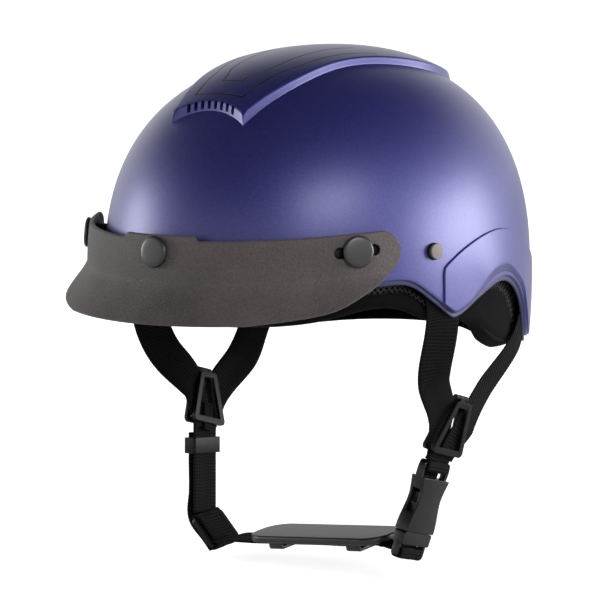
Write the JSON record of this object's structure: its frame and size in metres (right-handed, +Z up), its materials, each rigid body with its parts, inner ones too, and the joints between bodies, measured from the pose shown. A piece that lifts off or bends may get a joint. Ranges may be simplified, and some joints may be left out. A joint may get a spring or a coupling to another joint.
{
  "type": "half shell motorcycle helmet",
  "caption": "Half shell motorcycle helmet with a press-stud peak, padded rim cushion and a webbing harness with dividers, a chin cup and a side-release buckle.",
  "frame": {"origin": "middle of the head opening, level with the widest ring of the shell", "axes": "+X towards the wearer's left, +Y to the back of the head, +Z up"},
  "size_m": [0.2184, 0.2858, 0.2871],
  "materials": {
    "shell_paint": "satin paint with fine metal flake",
    "foam": "fine bead texture",
    "padding": "soft knitted cover",
    "cushion_fabric": "soft cover with a stitched mesh band",
    "peak_plastic": "fine moulded texture",
    "cap_plastic": "glossy",
    "socket_plastic": "moulded",
    "rivet_plastic": "satin",
    "washer_steel": "plain",
    "webbing": "woven with ribs",
    "divider_plastic": "moulded",
    "buckle_plastic": "moulded",
    "cup_rubber": "padded fabric",
    "slider_plastic": "moulded"
  },
  "bodies": {
    "helmet": {"outer_shell": "shell_paint", "foam_liner": "foam", "crown_pad": "padding", "brow_pad": "padding", "nape_pad": "padding", "side_pad_left": "padding", "side_pad_right": "padding", "rim_cushion": "cushion_fabric", "peak": "peak_plastic", "strap_rivet_left": "rivet_plastic", "strap_rivet_right": "rivet_plastic", "rivet_washer_left": "washer_steel", "rivet_washer_right": "washer_steel", "rear_anchor_left": "washer_steel", "rear_anchor_right": "washer_steel", "front_strap_left": "webbing", "front_strap_right": "webbing", "rear_strap_left": "webbing", "rear_strap_right": "webbing", "divider_frame_left": "divider_plastic", "divider_frame_right": "divider_plastic", "buckle_strap": "webbing", "buckle_socket": "buckle_plastic", "chin_strap": "webbing", "side_strap": "webbing", "strap_slider": "slider_plastic", "strap_tail": "webbing", "stud_socket_centre": "socket_plastic", "stud_socket_left": "socket_plastic", "stud_socket_right": "socket_plastic"},
    "cap_centre": {"stud_cap_centre": "cap_plastic"},
    "cap_left": {"stud_cap_left": "cap_plastic"},
    "cap_right": {"stud_cap_right": "cap_plastic"},
    "plug": {"buckle_plug": "buckle_plastic"},
    "arm_front": {"buckle_arm_front": "buckle_plastic"},
    "arm_back": {"buckle_arm_back": "buckle_plastic"},
    "flap_left": {"divider_flap_left": "divider_plastic"},
    "flap_right": {"divider_flap_right": "divider_plastic"},
    "cup": {"chin_cup": "cup_rubber"},
    "keeper": {"strap_keeper": "slider_plastic"}
  },
  "joints": [
    {"name": "cap_centre_pull", "type": "slide", "parent": "helmet", "child": "cap_centre", "axis": [0, -0.9867, 0.1628], "range_m": [0, 0.01]},
    {"name": "cap_left_pull", "type": "slide", "parent": "helmet", "child": "cap_left", "axis": [0.8258, -0.5494, 0.127], "range_m": [0, 0.01]},
    {"name": "cap_right_pull", "type": "slide", "parent": "helmet", "child": "cap_right", "axis": [-0.8258, -0.5494, 0.127], "range_m": [0, 0.01]},
    {"name": "plug_slide", "type": "slide", "parent": "helmet", "child": "plug", "axis": [-0.1962, -0.314, -0.9289], "range_m": [0, 0.027], "deforming": ["chin_strap"]},
    {"name": "arm_front_squeeze", "type": "hinge", "parent": "plug", "child": "arm_front", "pos_m": [0.07225, -0.03526, -0.14248], "axis": [-0.9806, 0.0628, 0.1859], "range_deg": [0, 5.5], "stiffness_Nm_per_rad": 0.05},
    {"name": "arm_back_squeeze", "type": "hinge", "parent": "plug", "child": "arm_back", "pos_m": [0.07225, -0.02313, -0.14658], "axis": [0.9806, -0.0628, -0.1859], "range_deg": [0, 5.5], "stiffness_Nm_per_rad": 0.05},
    {"name": "flap_left_hinge", "type": "hinge", "parent": "helmet", "child": "flap_left", "pos_m": [0.08969, -0.00251, -0.07118], "axis": [0, -0.9397, 0.342], "range_deg": [0, 100]},
    {"name": "flap_right_hinge", "type": "hinge", "parent": "helmet", "child": "flap_right", "pos_m": [-0.08969, -0.00251, -0.07118], "axis": [0, 0.9397, -0.342], "range_deg": [0, 100]},
    {"name": "cup_slide", "type": "slide", "parent": "helmet", "child": "cup", "axis": [0.995, 0, 0.1004], "range_m": [-0.012, 0.004]},
    {"name": "keeper_slide", "type": "slide", "parent": "helmet", "child": "keeper", "axis": [-0.071, 0.1756, 0.9819], "range_m": [-0.012, 0]}
  ],
  "couplings": [
    {"joint": "arm_back_squeeze", "follows": "arm_front_squeeze", "ratio": 1}
  ]
}
